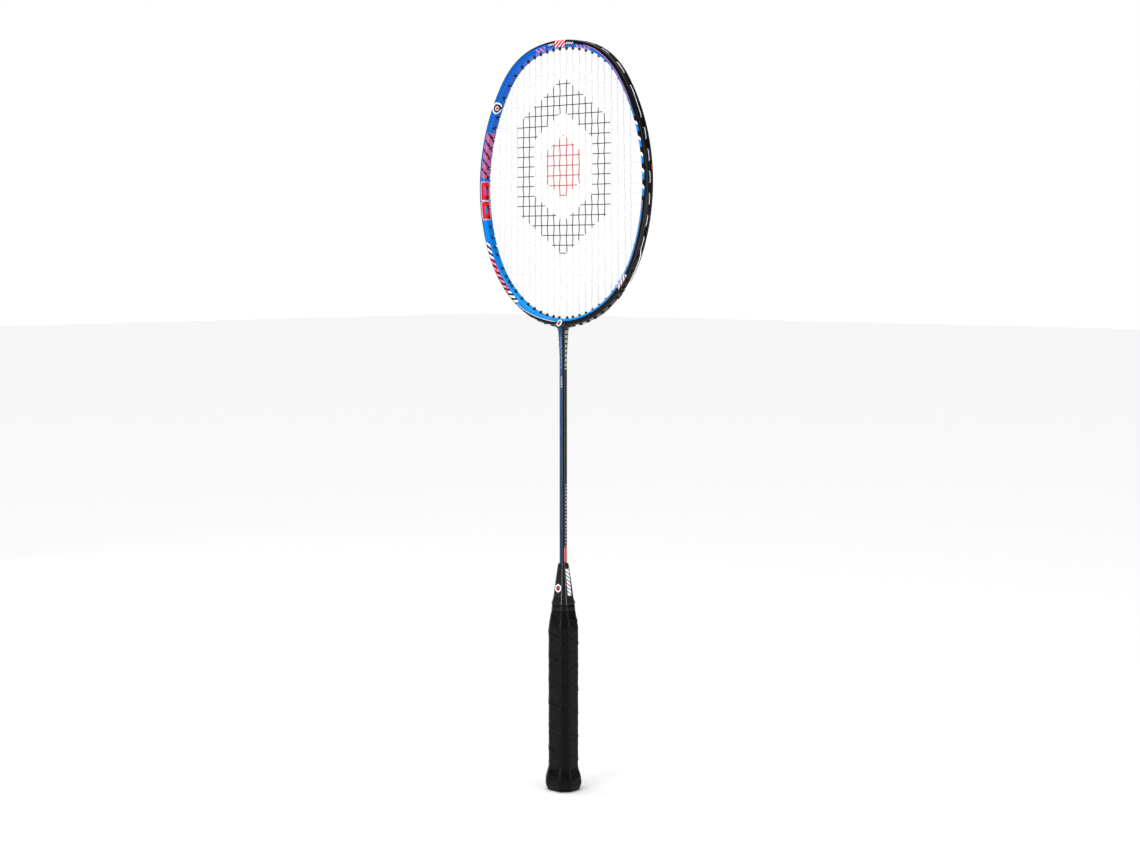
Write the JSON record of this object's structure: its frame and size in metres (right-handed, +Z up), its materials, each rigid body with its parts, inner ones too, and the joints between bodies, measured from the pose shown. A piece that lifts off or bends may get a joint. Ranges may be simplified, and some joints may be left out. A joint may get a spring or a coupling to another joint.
{
  "type": "badminton racket",
  "caption": "Badminton racket: rounded isometric composite head, woven string bed in grommets, slim tubular shaft, faceted cone cap and octagonal handle wound with grip tape.",
  "frame": {"origin": "middle of the butt's underside, where the racket's axis meets the surface it stands on", "axes": "+Z up along the shaft from the butt to the head, +X across the string bed, +Y through the string bed"},
  "size_m": [0.202, 0.03, 0.675],
  "materials": {
    "head_paint": "glossy blue and black lacquer over carbon composite, with printed bands",
    "joint_core": "moulded fibre-filled plastic, hidden inside the tube",
    "throat_paint": "glossy dark blue and black lacquer",
    "shaft_paint": "glossy navy and black lacquer over a carbon tube",
    "handle_wood": "raw light hardwood, under the tape",
    "cap_plastic": "glossy black moulding with flat facets",
    "butt_plastic": "matte black moulding",
    "badge": "red domed plastic disc",
    "staple_steel": "flat steel wire",
    "grip_tape": "soft black polyurethane tape with a fine grain",
    "trim_tape": "smooth black adhesive tape",
    "string": "white multifilament nylon with a stencilled pattern in black and red",
    "grommet_nylon": "black moulded nylon"
  },
  "bodies": {
    "root": {"head_frame": "head_paint", "t_piece": "joint_core", "throat_sleeve": "throat_paint", "shaft": "shaft_paint", "handle_core": "handle_wood", "cone_cap": "cap_plastic", "butt_cap": "butt_plastic", "butt_badge": "badge", "butt_staples": "staple_steel", "grip_wrap": "grip_tape", "finishing_tape": "trim_tape", "main_string": "string", "cross_string": "string", "grommets_top": "grommet_nylon", "grommets_bottom": "grommet_nylon", "grommets_left": "grommet_nylon", "grommets_right": "grommet_nylon", "grommets_shared": "grommet_nylon", "grommets_throat": "grommet_nylon", "grommets_tie_off": "grommet_nylon"}
  },
  "joints": []
}
